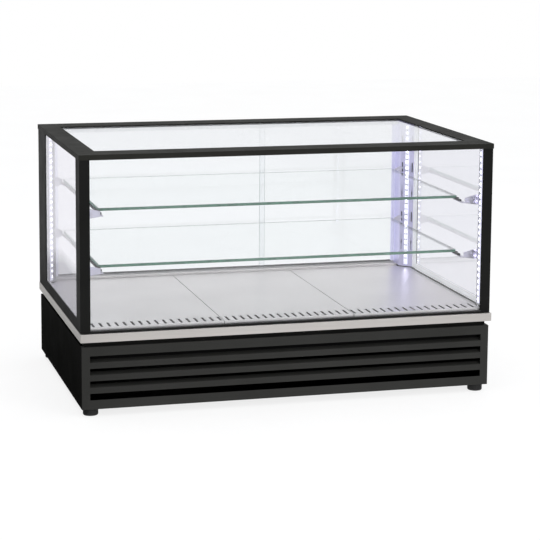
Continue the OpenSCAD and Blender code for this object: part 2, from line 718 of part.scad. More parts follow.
// Edge profile that is the pull, and two glides under the pane
module door_fittings(edge, inner, y) {
    s = edge > inner ? -1 : 1;
    difference() {
        box([min(edge - s * 1.5, edge + s * 8), y - 1.5, sill_top + 4],
            [max(edge - s * 1.5, edge + s * 8), y + door_t + 1.5, door_top - 12]);
        box([min(edge, edge + s * 9), y, sill_top + 3], [max(edge, edge + s * 9), y + door_t, door_top]);
    }
    for (x = [edge + s * 60, inner - s * 60])
        box([x - 15, y - 1, door_z - 3.5], [x + 15, y + door_t + 1, door_z]);
}
module door_left_fittings() color("#c4c6c8") at_frame()
    door_fittings(-door_half + 2, door_left_end, door_front_y);
module door_right_fittings() color("#c4c6c8") at_frame()
    door_fittings(door_half - 2, door_right_start, door_rear_y);

feet();
base_pan();
side_panel_left();
side_panel_right();
front_grille();
grille_slats();
rear_panel();
control_plate();
cable_gland();
neck_frame();
trim_front();
trim_sides();
floor_tub();
heating_element();
fan_motors();
fan_rotor_left();
fan_rotor_right();
thermostat();
temperature_probe();
terminal_block();
led_driver();
thermostat_knob();
power_rocker();
light_rocker();
switch_frames();
sill_front();
side_sills();
side_liners();
post_front_left();
post_front_right();
post_rear_left();
post_rear_right();
top_rail_front();
top_rail_rear();
top_rail_left();
top_rail_right();
top_glass();
front_glass();
left_glass();
right_glass();
upright_front_left();
upright_front_right();
upright_rear_left();
upright_rear_right();
led_strips();
brackets_upper();
brackets_lower();
bracket_rests();
shelf_upper();
shelf_lower();
tray_left();
tray_centre();
tray_right();
door_track_top();
door_track_bottom();
door_left();
door_right();
door_left_fittings();
door_right_fittings();
screws();
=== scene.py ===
"""Looks of the heated display case: materials, small detail pieces, studio and camera.

Everything is in metres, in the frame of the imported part: the front faces -Y and Z is up.
"""

import json
import math

import bmesh
import bpy
from mathutils import Matrix, Vector


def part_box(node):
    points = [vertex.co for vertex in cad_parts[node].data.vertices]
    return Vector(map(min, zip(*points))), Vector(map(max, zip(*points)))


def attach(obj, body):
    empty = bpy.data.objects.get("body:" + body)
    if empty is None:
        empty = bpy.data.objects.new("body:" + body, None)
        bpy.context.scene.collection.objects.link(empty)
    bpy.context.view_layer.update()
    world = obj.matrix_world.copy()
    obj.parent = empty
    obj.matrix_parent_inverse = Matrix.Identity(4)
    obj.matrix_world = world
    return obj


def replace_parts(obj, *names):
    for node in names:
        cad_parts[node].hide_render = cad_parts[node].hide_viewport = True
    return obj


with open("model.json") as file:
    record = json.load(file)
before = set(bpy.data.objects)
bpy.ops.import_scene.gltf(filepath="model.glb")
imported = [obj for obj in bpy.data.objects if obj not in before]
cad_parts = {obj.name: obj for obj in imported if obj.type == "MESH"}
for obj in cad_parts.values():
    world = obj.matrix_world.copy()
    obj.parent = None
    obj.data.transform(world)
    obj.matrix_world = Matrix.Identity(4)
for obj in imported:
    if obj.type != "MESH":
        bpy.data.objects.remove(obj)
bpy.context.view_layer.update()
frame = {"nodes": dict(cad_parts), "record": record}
nodes = frame["nodes"]
record = frame["record"]
body_of = {n: body for body, members in record["behaviour"]["bodies"].items() for n in members}
slot_of = {part["node"]: part["material_slot"] for part in record["subparts"]}
MM = 0.001
RIGHT, BACK, UP = Vector((1, 0, 0)), Vector((0, 1, 0)), Vector((0, 0, 1))
SHEET = 1.5 * MM  # of the folded casings


# ---- Camera ----

# Fitted to the straight edges of the case in the photograph
CAMERA_AT = (-1.4112, -5.2278, 1.3694)
PITCH, ROLL, YAW = -0.14506, -0.00716, -0.27018
LENS = 124.73
SHIFT_Y = -1 / 6


def make_camera():
    """The photograph's view: far off, a little to the left and above."""
    data = bpy.data.cameras.new("camera")
    data.lens = LENS
    data.shift_y = SHIFT_Y
    data.clip_end = 60
    camera = bpy.data.objects.new("camera", data)
    bpy.context.scene.collection.objects.link(camera)
    turn = Matrix.Rotation(YAW, 4, "Z") @ Matrix.Rotation(PITCH, 4, "X") @ Matrix.Rotation(ROLL, 4, "Y")
    camera.matrix_world = Matrix.Translation(CAMERA_AT) @ turn @ Matrix.Rotation(math.pi / 2, 4, "X")
    bpy.context.scene.camera = camera


make_camera()


# ---- Shader building ----


class Shader:
    """The nodes of a material, or of the world, while they are being put together."""

    def __init__(self, owner, output="OutputMaterial", place="Object"):
        self.owner = owner
        owner.use_nodes = True
        self.tree = owner.node_tree
        self.tree.nodes.clear()
        self.output = self.node(output)
        self.place = self.node("TexCoord").outputs[place]

    def node(self, kind, inputs=None, **settings):
        made = self.tree.nodes.new("ShaderNode" + kind)
        for key, value in settings.items():
            setattr(made, key, value)
        for key, value in (inputs or {}).items():
            self.put(made.inputs[key], value)
        return made

    def put(self, socket, value):
        if isinstance(value, bpy.types.NodeSocket):
            self.tree.links.new(value, socket)
        else:
            socket.default_value = value

    def spread(self, value, start, end, low, high):
        """The value, limited to start and end, as a share of the way from low to high."""
        return self.node("MapRange", {"Value": value, "From Min": start, "From Max": end,
                                      "To Min": low, "To Max": high}).outputs[0]

    def noise(self, scale, low, high, stretch=(1, 1, 1), detail=3):
        """Noise spread from low to high. A stretch below 1 on an axis draws it out along that axis."""
        mapped = self.node("Mapping", {"Vector": self.place, "Scale": stretch})
        noise = self.node("TexNoise", {"Vector": mapped.outputs[0], "Scale": scale, "Detail": detail})
        return self.spread(noise.outputs[0], 0.3, 0.7, low, high)

    def mix(self, factor, first, second):
        made = self.node("Mix", data_type="RGBA")
        for socket, value in zip((made.inputs[0], made.inputs[6], made.inputs[7]), (factor, first, second)):
            self.put(socket, value)
        return made.outputs[2]

    def maths(self, operation, first, second=0.0):
        made = self.node("Math", operation=operation)
        self.put(made.inputs[0], first)
        self.put(made.inputs[1], second)
        return made.outputs[0]

    def bump(self, height, strength, distance, below=None):
        inputs = {"Height": height, "Strength": strength, "Distance": distance}
        if below is not None:
            inputs["Normal"] = below
        return self.node("Bump", inputs).outputs[0]

    def finish(self, shader):
        self.tree.links.new(shader.outputs[0], self.output.inputs[0])
        return self.owner


def shader(name):
    return Shader(bpy.data.materials.new(name))


def rgb(red, green, blue):
    return (red, green, blue, 1)


def scaled(colour, factor):
    return tuple(min(1, part * factor) for part in colour[:3]) + (1,)


# ---- Materials ----


def powder_coat(name, colour, roughness, specular=0.5, painted_glow=0.0):
    """Satin stove enamel: fine orange peel and cloudy colour. Its glow is painted light: emission that
    stands in for the LED light on white enamel.
    """
    s = shader(name)
    cloud = s.noise(7, 0, 1)
    base = s.mix(cloud, scaled(colour, 0.88), scaled(colour, 1.14))
    speck = s.noise(420, 0, 1, detail=2)
    base = s.mix(s.maths("MULTIPLY", speck, 0.25), base, scaled(colour, 1.35))
    rough = s.maths("ADD", s.noise(13, -0.05, 0.05), s.noise(600, roughness - 0.04, roughness + 0.04))
    peel = s.bump(s.noise(900, 0, 1, detail=1), 0.10, 0.0003)
    return s.finish(s.node("BsdfPrincipled", {
        "Base Color": base, "Roughness": rough, "Specular IOR Level": specular, "Normal": peel,
        "Emission Color": base, "Emission Strength": painted_glow}))


def brushed(name, colour, grain, roughness, anisotropic=0.5, contrast=0.06, painted_glow=0.0):
    """Brushed sheet whose grain runs along the axis given as 0, 1 or 2. Its glow is painted light: lilac
    emission that stands in for the light of a row of LEDs beside it.
    """
    s = shader(name)
    along, across = 2.0, 1000.0
    stretch = tuple(along if axis == grain else across for axis in range(3))
    wide = tuple(1.0 if axis == grain else 120.0 for axis in range(3))
    hair = s.noise(1, 0, 1, stretch, detail=4)
    band = s.noise(1, 0, 1, wide, detail=3)
    shade = s.maths("ADD", s.maths("MULTIPLY", hair, 0.65), s.maths("MULTIPLY", band, 0.35))
    base = s.mix(shade, scaled(colour, 1 - contrast), scaled(colour, 1 + contrast))
    base = s.mix(s.noise(9, 0, 0.35), base, scaled(colour, 0.97))
    rough = s.maths("ADD", s.maths("MULTIPLY", hair, 0.10), s.noise(5, roughness - 0.07, roughness + 0.02))
    lines = s.bump(hair, 0.12, 0.0001)
    tangent = s.node("CombineXYZ", dict(zip("XYZ", [float(axis == grain) for axis in range(3)])))
    # The emission, in the lilac of the LEDs, is painted glow
    return s.finish(s.node("BsdfPrincipled", {
        "Base Color": base, "Metallic": 1.0, "Roughness": rough, "Anisotropic": anisotropic,
        "Tangent": tangent.outputs[0], "Normal": lines, "Emission Strength": painted_glow,
        "Emission Color": s.mix(shade, rgb(0.50, 0.46, 0.95), rgb(0.70, 0.68, 1.0))}))


def plain_metal(name, colour, roughness, mottle=0.08, scale=40):
    """Cast, galvanised or plated metal with soft blotches."""
    s = shader(name)
    blotch = s.noise(scale, 0, 1, detail=5)
    base = s.mix(blotch, scaled(colour, 1 - mottle), scaled(colour, 1 + mottle))
    rough = s.noise(scale * 3, roughness - 0.08, roughness + 0.08)
    return s.finish(s.node("BsdfPrincipled", {
        "Base Color": base, "Metallic": 1.0, "Roughness": rough,
        "Normal": s.bump(s.noise(scale * 12, 0, 1), 0.12, 0.0003)}))


def plastic(name, colour, roughness, grain=800, bump=0.08, specular=0.5):
    """Moulded plastic or rubber with a fine texture and light scuffs."""
    s = shader(name)
    scuff = s.noise(60, 0, 1, detail=6)
    base = s.mix(scuff, scaled(colour, 0.9), scaled(colour, 1.12))
    rough = s.noise(110, roughness - 0.06, roughness + 0.08, detail=4)
    return s.finish(s.node("BsdfPrincipled", {
        "Base Color": base, "Roughness": rough, "Specular IOR Level": specular,
        "Normal": s.bump(s.noise(grain, 0, 1), bump, 0.0003)}))


def pane(name, tint, thin_axis, edge, film=0.02):
    """Clear float glass, thin along one axis: lamps shine through, there is a film of wiping on it,
    and its ground edges show the deeper colour of the glass."""
    s = shader(name)
    smear = s.noise(3, 0, 0.012, (1, 1, 4), detail=6)
    clear = s.node("BsdfGlass", {"Color": tint, "IOR": 1.5, "Roughness": smear})
    lamp = s.node("BsdfTransparent", {"Color": tint})
    haze = s.node("BsdfDiffuse", {"Color": rgb(0.93, 0.94, 0.96)})
    filmed = s.node("MixShader", {0: s.noise(5, 0, film, (1, 1, 3), detail=7),
                                  1: clear.outputs[0], 2: haze.outputs[0]})
    ground = s.node("BsdfPrincipled", {
        "Base Color": s.mix(s.noise(60, 0, 1), scaled(edge, 0.8), scaled(edge, 1.2)),
        "Roughness": s.noise(300, 0.3, 0.45), "Specular IOR Level": 0.15})
    facing = s.node("SeparateXYZ", {0: s.node("NewGeometry").outputs["True Normal"]}).outputs[thin_axis]
    on_edge = s.maths("LESS_THAN", s.maths("ABSOLUTE", facing), 0.9)
    body = s.node("MixShader", {0: on_edge, 1: filmed.outputs[0], 2: ground.outputs[0]})
    lit = s.node("MixShader", {0: s.node("LightPath").outputs["Is Shadow Ray"],
                               1: body.outputs[0], 2: lamp.outputs[0]})
    return s.finish(lit)


def lit_board(name, colour, painted_glow):
    """A printed circuit board with a painted glow: emission that stands in for the light of the LEDs on it.
    """
    s = shader(name)
    print_lines = s.noise(1, 0, 1, (900, 900, 60), detail=2)
    base = s.mix(print_lines, scaled(colour, 0.9), colour)
    return s.finish(s.node("BsdfPrincipled", {
        "Base Color": base, "Roughness": s.noise(200, 0.3, 0.45), "Emission Strength": painted_glow,
        "Emission Color": s.mix(s.noise(90, 0, 1), rgb(0.72, 0.70, 1.0), rgb(0.88, 0.88, 1.0))}))


def glowing(name, colour, strength, core=0.35):
    """A light that is brightest in small cloudy spots."""
    s = shader(name)
    spots = s.noise(500, 1 - core, 1, detail=1)
    light = s.node("Emission", {"Color": colour, "Strength": s.maths("MULTIPLY", spots, strength)})
    return s.finish(light)


GLASS_EDGE = rgb(0.085, 0.205, 0.145)
CLEAR = rgb(0.975, 0.98, 0.985)
SIDE_CLEAR = rgb(0.955, 0.95, 0.972)

# For each finish the function that makes it, and that function's values after the name
RECIPES = {
    "rubber_black": (plastic, rgb(0.02, 0.02, 0.02), 0.7, 500, 0.2, 0.3),
    "base_black": (powder_coat, rgb(0.0045, 0.0045, 0.004), 0.6, 0.004),
    "grille_black": (powder_coat, rgb(0.026, 0.026, 0.024), 0.5, 0.16),
    "frame_black": (powder_coat, rgb(0.014, 0.014, 0.0135), 0.5, 0.015),
    "top_black": (powder_coat, rgb(0.0235, 0.0235, 0.021), 0.6, 0.03),
    "band_steel": (brushed, rgb(0.56, 0.535, 0.515), 0, 0.36),
    "deck_steel": (brushed, rgb(0.685, 0.66, 0.66), 0, 0.34, 0.4, 0.03),
    # Painted shade: the tub's near-black enamel makes the deck's slots and the grille's top opening show as
    # dark as the shade inside the base
    "tub_dark": (powder_coat, rgb(0.006, 0.006, 0.006), 0.7, 0.02),
    "profile_aluminium": (brushed, rgb(0.55, 0.54, 0.58), 2, 0.35, 0.3),
    # Lit and shaded copies of the profile aluminium for the rear uprights: a lilac one with painted glare
    # and glow, and a darker one with painted shade
    "profile_lit": (brushed, rgb(0.55, 0.53, 0.70), 2, 0.35, 0.3, 0.1, 0.22),
    "profile_dim": (brushed, rgb(0.30, 0.29, 0.34), 2, 0.4, 0.3),
    # Painted highlight and glow on the doors' edges: a bright aluminium that also glows, standing in for the
    # glare of the LEDs
    "edge_bright": (brushed, rgb(0.86, 0.87, 0.88), 2, 0.4, 0.3, 0.05, 0.3),
    "track_aluminium": (brushed, rgb(0.82, 0.82, 0.84), 0, 0.4, 0.3),
    "bracket_steel": (plain_metal, rgb(0.58, 0.56, 0.66), 0.4, 0.05, 60),
    "rest_black": (plastic, rgb(0.025, 0.025, 0.03), 0.55),
    "fixed_glass": (pane, CLEAR, 2, GLASS_EDGE),
    "front_glass": (pane, CLEAR, 1, GLASS_EDGE),
    "side_glass": (pane, SIDE_CLEAR, 0, GLASS_EDGE),
    "shelf_glass": (pane, rgb(0.985, 0.992, 0.99), 2, GLASS_EDGE),
    "door_glass": (pane, CLEAR, 1, rgb(0.45, 0.52, 0.52)),
    # Painted glow on the LED boards
    "led_board": (lit_board, rgb(0.85, 0.85, 0.9), 0.9),
    "element_metal": (plain_metal, rgb(0.36, 0.27, 0.21), 0.5, 0.25, 120),
    "motor_metal": (plain_metal, rgb(0.25, 0.26, 0.27), 0.55),
    "fan_metal": (brushed, rgb(0.6, 0.61, 0.62), 0, 0.38),
    "white_plastic": (plastic, rgb(0.78, 0.77, 0.72), 0.45),
    "driver_case": (brushed, rgb(0.7, 0.71, 0.72), 0, 0.4),
    "copper_tube": (plain_metal, rgb(0.72, 0.43, 0.27), 0.3),
    "switch_red": (plastic, rgb(0.55, 0.02, 0.015), 0.25),
    "black_plastic": (plastic, rgb(0.018, 0.018, 0.018), 0.5),
    "plate_steel": (brushed, rgb(0.6, 0.6, 0.6), 0, 0.32),
    "screw_steel": (plain_metal, rgb(0.66, 0.66, 0.68), 0.28),
    # Painted glow on the white liners and the corner beads: emission standing in for the light of the LEDs
    "liner_white": (powder_coat, rgb(0.84, 0.84, 0.86), 0.45, 0.3, 0.35),
    "band_steel_side": (brushed, rgb(0.47, 0.455, 0.435), 1, 0.36),
}
finishes = {name: make(name, *values) for name, (make, *values) in RECIPES.items()}

# Nodes whose grain or thin axis runs another way than their slot's finish, the rear uprights, with painted
# glare and glow on the right one and painted shade on the left one, and the doors' edges, with a painted
# highlight and glow
OTHER_FINISH = {"front_glass": "front_glass", "left_glass": "side_glass", "right_glass": "side_glass",
                "trim_sides": "band_steel_side", "upright_rear_right": "profile_lit",
                "upright_rear_left": "profile_dim", "door_left_fittings": "edge_bright",
                "door_right_fittings": "edge_bright"}


def finish_of(name):
    return finishes[OTHER_FINISH.get(name, slot_of[name])]


for name, obj in nodes.items():
    obj.data.materials.clear()
    obj.data.materials.append(finish_of(name))


# ---- Mesh helpers ----


def welded(name):
    """The node's mesh with its seams joined and its flat faces whole."""
    bm = bmesh.new()
    bm.from_mesh(nodes[name].data)
    bmesh.ops.remove_doubles(bm, verts=bm.verts, dist=1e-6)
    bmesh.ops.dissolve_limit(bm, angle_limit=math.radians(0.3), verts=bm.verts, edges=bm.edges)
    return bm


def islands(bm):
    """The corners of each separate solid of a mesh, in the same order on every run."""
    left = dict.fromkeys(bm.verts)
    found = []
    while left:
        todo = [left.popitem()[0]]
        island = list(todo)
        while todo:
            for edge in todo.pop().link_edges:
                for vert in edge.verts:
                    if vert in left:
                        del left[vert]
                        todo.append(vert)
                        island.append(vert)
        found.append([vert.co.copy() for vert in island])
    return found


def extent(corners):
    """The lowest and the highest corner of the box round some corners."""
    return [Vector(pick(corner[axis] for corner in corners) for axis in range(3)) for pick in (min, max)]


def box(name):
    return [Vector(corner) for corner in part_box(name)]


def in_mm(outline):
    return [(u * MM, v * MM) for u, v in outline]


def finished(bm):
    bmesh.ops.recalc_face_normals(bm, faces=bm.faces)
    return bm


def add_piece(name, bm, slot, body="case", materials=None, smooth=35):
    """Turns a bmesh into a piece that rides on a body and takes its finish from a slot."""
    data = bpy.data.meshes.new(name)
    bm.to_mesh(data)
    bm.free()
    for material in materials or [finishes[slot]]:
        data.materials.append(material)
    data.polygons.foreach_set("use_smooth", [True] * len(data.polygons))
    data.set_sharp_from_angle(angle=math.radians(smooth))
    obj = bpy.data.objects.new(name, data)
    bpy.context.scene.collection.objects.link(obj)
    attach(obj, body)
    return obj


def soften(name, width, segments=2):
    """Puts a copy with rounded edges in the place of a node."""
    bm = welded(name)
    sharp = [e for e in bm.edges if e.is_manifold and e.calc_face_angle() > math.radians(30)]
    bmesh.ops.bevel(bm, geom=sharp, offset=width, segments=segments, profile=0.5,
                    affect="EDGES", clamp_overlap=True)
    obj = add_piece(name + "_rounded", bm, slot_of[name], body_of[name], [finish_of(name)], smooth=60)
    weigh = obj.modifiers.new("even_shading", "WEIGHTED_NORMAL")
    weigh.keep_sharp = True
    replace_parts(obj, name)


# ---- Rounded casings ----

EDGE_RADII = {
    0.0012: ["front_grille"],
    0.0008: ["side_panel_left", "side_panel_right", "grille_slats", "trim_front", "trim_sides",
             "post_front_left", "post_front_right", "top_rail_front", "top_rail_rear",
             "top_rail_left", "top_rail_right"],
    0.0005: ["tray_left", "tray_centre", "tray_right", "sill_front", "side_sills", "rear_panel",
             "control_plate", "post_rear_left", "post_rear_right"],
    0.0007: ["shelf_upper", "shelf_lower"],
    0.0003: ["brackets_upper", "brackets_lower", "bracket_rests"],
}
for radius, names in EDGE_RADII.items():
    for name in names:
        soften(name, radius)


# ---- LEDs ----

LED_PITCH = 17.5 * MM
LED_SIDE = 5.0 * MM
LED_RISE = 1.4 * MM
BOARD_WIDTH = 12 * MM
led_light = glowing("led_light", rgb(0.78, 0.76, 1.0), 42)


def slab(bm, at, side, out, up, half_side, half_up, rise, material=0, inset=0.0):
    """A flat block on the point at, along the directions side and up, that rises outwards. The inset
    draws its upper face in."""
    corners = []
    for level, shrink in ((0, 0), (rise, inset)):
        for s, u in ((-1, -1), (1, -1), (1, 1), (-1, 1)):
            corners.append(bm.verts.new(at + side * s * (half_side - shrink) + up * u * (half_up - shrink)
                                        + out * level))
    quads = [(0, 3, 2, 1), (4, 5, 6, 7)] + [(i, (i + 1) % 4, 4 + (i + 1) % 4, 4 + i) for i in range(4)]
    for quad in quads:
        face = bm.faces.new([corners[i] for i in quad])
        face.material_index = material


def led_rows():
    """LED packages on the four lit strips, with a dark solder bridge between every two."""
    package, light, bridge = range(3)
    from_left = sorted(islands(welded("led_strips")), key=lambda corners: sum(c.x for c in corners))
    for number, corners in enumerate(from_left):
        centre = sum(corners, Vector()) / len(corners)
        top = [c - centre for c in corners if c.z > centre.z]
        # Of the distances between the corners on top, one is the width of the board
        side = max(((a - b) for a in top for b in top), key=lambda d: abs(d.length - BOARD_WIDTH) < 1e-5)
        side.normalize()
        out = side.cross(UP)
        inwards = Vector((-centre.x, -1e-3, 0))
        if out.dot(inwards) < 0:
            out = -out
        low, high = extent(corners)
        face = centre + out * MM
        bm = bmesh.new()
        count = int((high.z - low.z) / LED_PITCH)
        for i in range(count):
            at = face + UP * (i - (count - 1) / 2) * LED_PITCH
            slab(bm, at, side, out, UP, LED_SIDE / 2, LED_SIDE / 2, LED_RISE, package, 0.2 * MM)
            slab(bm, at + out * LED_RISE, side, out, UP, LED_SIDE * 0.42, LED_SIDE * 0.42, 0.1 * MM, light)
            slab(bm, at + UP * LED_PITCH / 2, side, out, UP, 5.4 * MM, 0.9 * MM, 0.6 * MM, bridge)
        add_piece(f"led_row_{number + 1}", finished(bm), "led_board",
                  materials=[finishes["led_board"], led_light, finishes["black_plastic"]])


led_rows()


# ---- Small parts ----


def turned(bm, rings, place, segments=48):
    """A turned solid: rings of radius and height up the Z axis, placed by a matrix. A radius may be a
    function of the angle. Rings of radius 0 close an end."""
    before = None
    for radius, height in rings:
        if radius == 0:
            ring = [bm.verts.new(place @ Vector((0, 0, height)))]
        else:
            ring = []
            for i in range(segments):
                angle = math.tau * i / segments
                r = radius(angle) if callable(radius) else radius
                ring.append(bm.verts.new(place @ Vector((r * math.cos(angle), r * math.sin(angle), height))))
        if before:
            for i in range(segments):
                corners = [before[i % len(before)], before[(i + 1) % len(before)],
                           ring[(i + 1) % len(ring)], ring[i % len(ring)]]
                bm.faces.new(list(dict.fromkeys(corners)))
        before = ring


def strip(bm, outline, start, end, side, up):
    """Extrudes an outline, drawn along the directions side and up, from start to end."""
    rows = [[bm.verts.new(at + side * u + up * v) for u, v in outline] for at in (start, end)]
    count = len(outline)
    faces = [[rows[0][i], rows[0][(i + 1) % count], rows[1][(i + 1) % count], rows[1][i]]
             for i in range(count)]
    for corners in faces + [rows[0][::-1], rows[1]]:
        bm.faces.new(corners)


def wire(bm, points, radius, segments=10):
    """A bent round wire through the points."""
    rings = []
    for i, point in enumerate(points):
        ahead = (points[min(i + 1, len(points) - 1)] - points[max(i - 1, 0)]).normalized()
        across = across - ahead * across.dot(ahead) if rings else ahead.orthogonal()
        across.normalize()
        beside = ahead.cross(across)
        rings.append([bm.verts.new(point + (across * math.cos(math.tau * k / segments)
                                            + beside * math.sin(math.tau * k / segments)) * radius)
                      for k in range(segments)])
    for lower, upper in zip(rings, rings[1:]):
        for k in range(segments):
            bm.faces.new([lower[k], lower[(k + 1) % segments], upper[(k + 1) % segments], upper[k]])
    bm.faces.new(rings[0][::-1])
    bm.faces.new(rings[-1])


def ring_wire(bm, centre, ring_radius, radius, segments=72):
    """A closed round wire ring, flat on XY."""
    around = 10  # corners of the wire's section
    rows = []
    for i in range(segments):
        turn = math.tau * i / segments
        out = Vector((math.cos(turn), math.sin(turn), 0))
        rows.append([bm.verts.new(centre + out * (ring_radius + radius * math.cos(math.tau * k / around))
                                  + Vector((0, 0, radius * math.sin(math.tau * k / around))))
                     for k in range(around)])
    for i in range(segments):
        for k in range(around):
            bm.faces.new([rows[i][k], rows[(i + 1) % segments][k],
                          rows[(i + 1) % segments][(k + 1) % around], rows[i][(k + 1) % around]])


def cross_recess(angle):
    """Outline of a cross recess, as a radius."""
    from_arm = (angle + math.pi / 4) % (math.pi / 2) - math.pi / 4
    reach, width = 2.1 * MM, 0.5 * MM
    return min(reach / math.cos(from_arm), width / max(abs(math.sin(from_arm)), 1e-6))


def hexagon(angle):
    """Outline of a 10 mm bolt head, as a radius."""
    return 5 * MM * math.cos(math.pi / 6) / math.cos(angle % (math.pi / 3) - math.pi / 6)


BACKWARDS = Matrix.Rotation(-math.pi / 2, 4, "X")  # turns +Z to +Y


def screw_heads():
    """Domed heads with cross recesses on the back, and hexagon bolts in the feet."""
    bm = bmesh.new()
    head, shank, rise = 4 * MM, 2 * MM, 2 * MM
    for corners in islands(welded("screws")):
        low, high = extent(corners)
        middle, height = (low + high) / 2, high.z - low.z
        upright = height > 10 * MM
        if upright:
            turned(bm, [(0, 0), (hexagon, 0), (hexagon, 4 * MM), (2.5 * MM, 4 * MM), (2.5 * MM, height),
                        (0, height)], Matrix.Translation((middle.x, middle.y, low.z)))
            continue
        top = high.y - rise
        length = top - low.y
        rings = [(0, -length), (shank * 0.8, -length), (shank, -length + 0.4 * MM), (shank, 0), (head, 0),
                 (head, 0.5 * MM), (head * 0.93, 1.1 * MM), (head * 0.78, 1.6 * MM), (head * 0.6, 1.9 * MM),
                 (cross_recess, 1.95 * MM), (lambda a: cross_recess(a) * 0.8, 0.9 * MM), (0, 0.7 * MM)]
        turned(bm, rings, Matrix.Translation((middle.x, top, middle.z)) @ BACKWARDS)
    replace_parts(add_piece("screw_heads", finished(bm), "screw_steel"), "screws")


def ribbed_feet():
    """Rubber feet with three grooves round them and a recess for the bolt."""
    bm = bmesh.new()
    for corners in islands(welded("feet")):
        low, high = extent(corners)
        radius, height = (high.x - low.x) / 2, high.z
        rings = [(2.6 * MM, height), (2.6 * MM, 6 * MM), (7 * MM, 6 * MM), (7 * MM, 0.5 * MM), (7.5 * MM, 0),
                 (radius - 4 * MM, 0), (radius - 1.6 * MM, 0.7 * MM), (radius - 0.4 * MM, 2.2 * MM),
                 (radius, 4 * MM)]
        for i in range(3):
            z = (6.5 + 4 * i) * MM
            rings += [(radius, z), (radius - 0.9 * MM, z + 0.5 * MM), (radius - 0.9 * MM, z + 1.1 * MM),
                      (radius, z + 1.6 * MM)]
        rings += [(radius, height - 0.6 * MM), (radius - 0.6 * MM, height), (2.6 * MM, height)]
        turned(bm, rings, Matrix.Translation(((low.x + high.x) / 2, (low.y + high.y) / 2, 0)))
    bmesh.ops.remove_doubles(bm, verts=bm.verts, dist=1e-6)
    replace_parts(add_piece("ribbed_feet", finished(bm), "rubber_black"), "feet")


def knob_ribs(angle):
    """Outline of the knob's 30 ribs, as a radius."""
    return (16.6 + 0.4 * math.cos(30 * angle)) * MM


def dial():
    """The ribbed knob with its pointer, and the ring of marks round it."""
    low, high = box("thermostat_knob")
    centre = Vector(((low.x + high.x) / 2, low.y, (low.z + high.z) / 2))
    place = Matrix.Translation(centre) @ BACKWARDS
    bm = bmesh.new()
    bore = 3.1 * MM
    turned(bm, [(bore, 0), (19.4 * MM, 0), (20 * MM, 0.6 * MM), (20 * MM, 3.2 * MM), (19.2 * MM, 4 * MM),
                (17 * MM, 4.2 * MM), (knob_ribs, 5 * MM), (knob_ribs, 12 * MM), (15.6 * MM, 13 * MM),
                (13 * MM, 13 * MM), (0, 12.7 * MM)], place, segments=240)
    turned(bm, [(bore, 0), (bore, 12.5 * MM), (0, 12.5 * MM)], place)
    bar = [(-2.5, 12.6), (2.5, 12.6), (2.5, 14.2), (1.7, 15), (-1.7, 15), (-2.5, 14.2)]
    strip(bm, in_mm(bar), centre - UP * 17 * MM, centre + UP * 17 * MM, RIGHT, BACK)
    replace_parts(add_piece("knob_ribbed", finished(bm), "black_plastic", "knob"), "thermostat_knob")
    bm = bmesh.new()
    slab(bm, centre + BACK * 14.8 * MM + UP * 9 * MM, RIGHT, BACK, UP, 0.7 * MM, 6 * MM, 0.2 * MM)
    add_piece("knob_pointer", finished(bm), "white_plastic", "knob")

    face = Vector((centre.x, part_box("control_plate")[1][1], centre.z))
    bm = bmesh.new()
    # Eleven marks over 270 degrees, every fifth one longer
    for i in range(11):
        angle = math.radians(90 - 27 * i)
        outwards = RIGHT * math.cos(angle) + UP * math.sin(angle)
        reach = 2.4 * MM if i % 5 else 3.6 * MM
        slab(bm, face + outwards * (22.5 * MM + reach / 2), BACK.cross(outwards), BACK, outwards,
             0.5 * MM, reach / 2, 0.15 * MM)
    add_piece("dial_marks", finished(bm), "black_plastic")


def rocker_marks():
    """The generic on and off marks on both rockers."""
    for name, body in (("power_rocker", "power_switch"), ("light_rocker", "light_switch")):
        low, high = box(name)
        x = (low.x + high.x) / 2
        rocker = welded(name)
        wide = sorted((f.calc_center_median().z, tuple(f.calc_center_median()), tuple(f.normal))
                      for f in rocker.faces if f.normal.y > 0.5 and f.calc_area() > 20 * MM * MM)
        rocker.free()
        bm = bmesh.new()
        for (_, at, out), ring in ((wide[0], True), (wide[-1], False)):
            at, out = Vector((x, at[1], at[2])), Vector(out)
            up = out.cross(RIGHT)
            if ring:
                tilt = Matrix.Translation(at) @ Matrix((RIGHT, up, RIGHT.cross(up))).transposed().to_4x4()
                turned(bm, [(1.5 * MM, 0), (2.1 * MM, 0), (2.1 * MM, 0.15 * MM), (1.5 * MM, 0.15 * MM),
                            (1.5 * MM, 0)], tilt, 32)
            else:
                slab(bm, at, RIGHT, out, up, 0.35 * MM, 2.1 * MM, 0.15 * MM)
        bmesh.ops.remove_doubles(bm, verts=bm.verts, dist=1e-6)
        add_piece(name + "_marks", finished(bm), "white_plastic", body)


def glass_seals():
    """Black silicone beads where the glass meets the sills: on both faces of the front glass, and
    smaller ones outside the side glass."""
    bead = [(0, 0), (1.6, 0), (1.4, 0.7), (0.8, 1.4), (0, 1.8)]
    low, high = box("front_glass")
    reach, _, top = box("sill_front")[1]
    bm = bmesh.new()
    for y, way in ((low.y, -1), (high.y, 1)):
        strip(bm, in_mm(bead), Vector((-reach, y, top)), Vector((reach, y, top)), BACK * way, UP)
    add_piece("seal_front", finished(bm), "black_plastic")

    front, (_, rear, top) = box("side_sills")[0].y, box("side_sills")[1]
    bm = bmesh.new()
    for name, way in (("left_glass", -1), ("right_glass", 1)):
        outer = max(box(name), key=lambda corner: corner.x * way).x
        strip(bm, [(u / 2, v / 2) for u, v in in_mm(bead)], Vector((outer, front, top)),
              Vector((outer, rear, top)), RIGHT * way, UP)
    add_piece("seal_sides", finished(bm), "black_plastic")


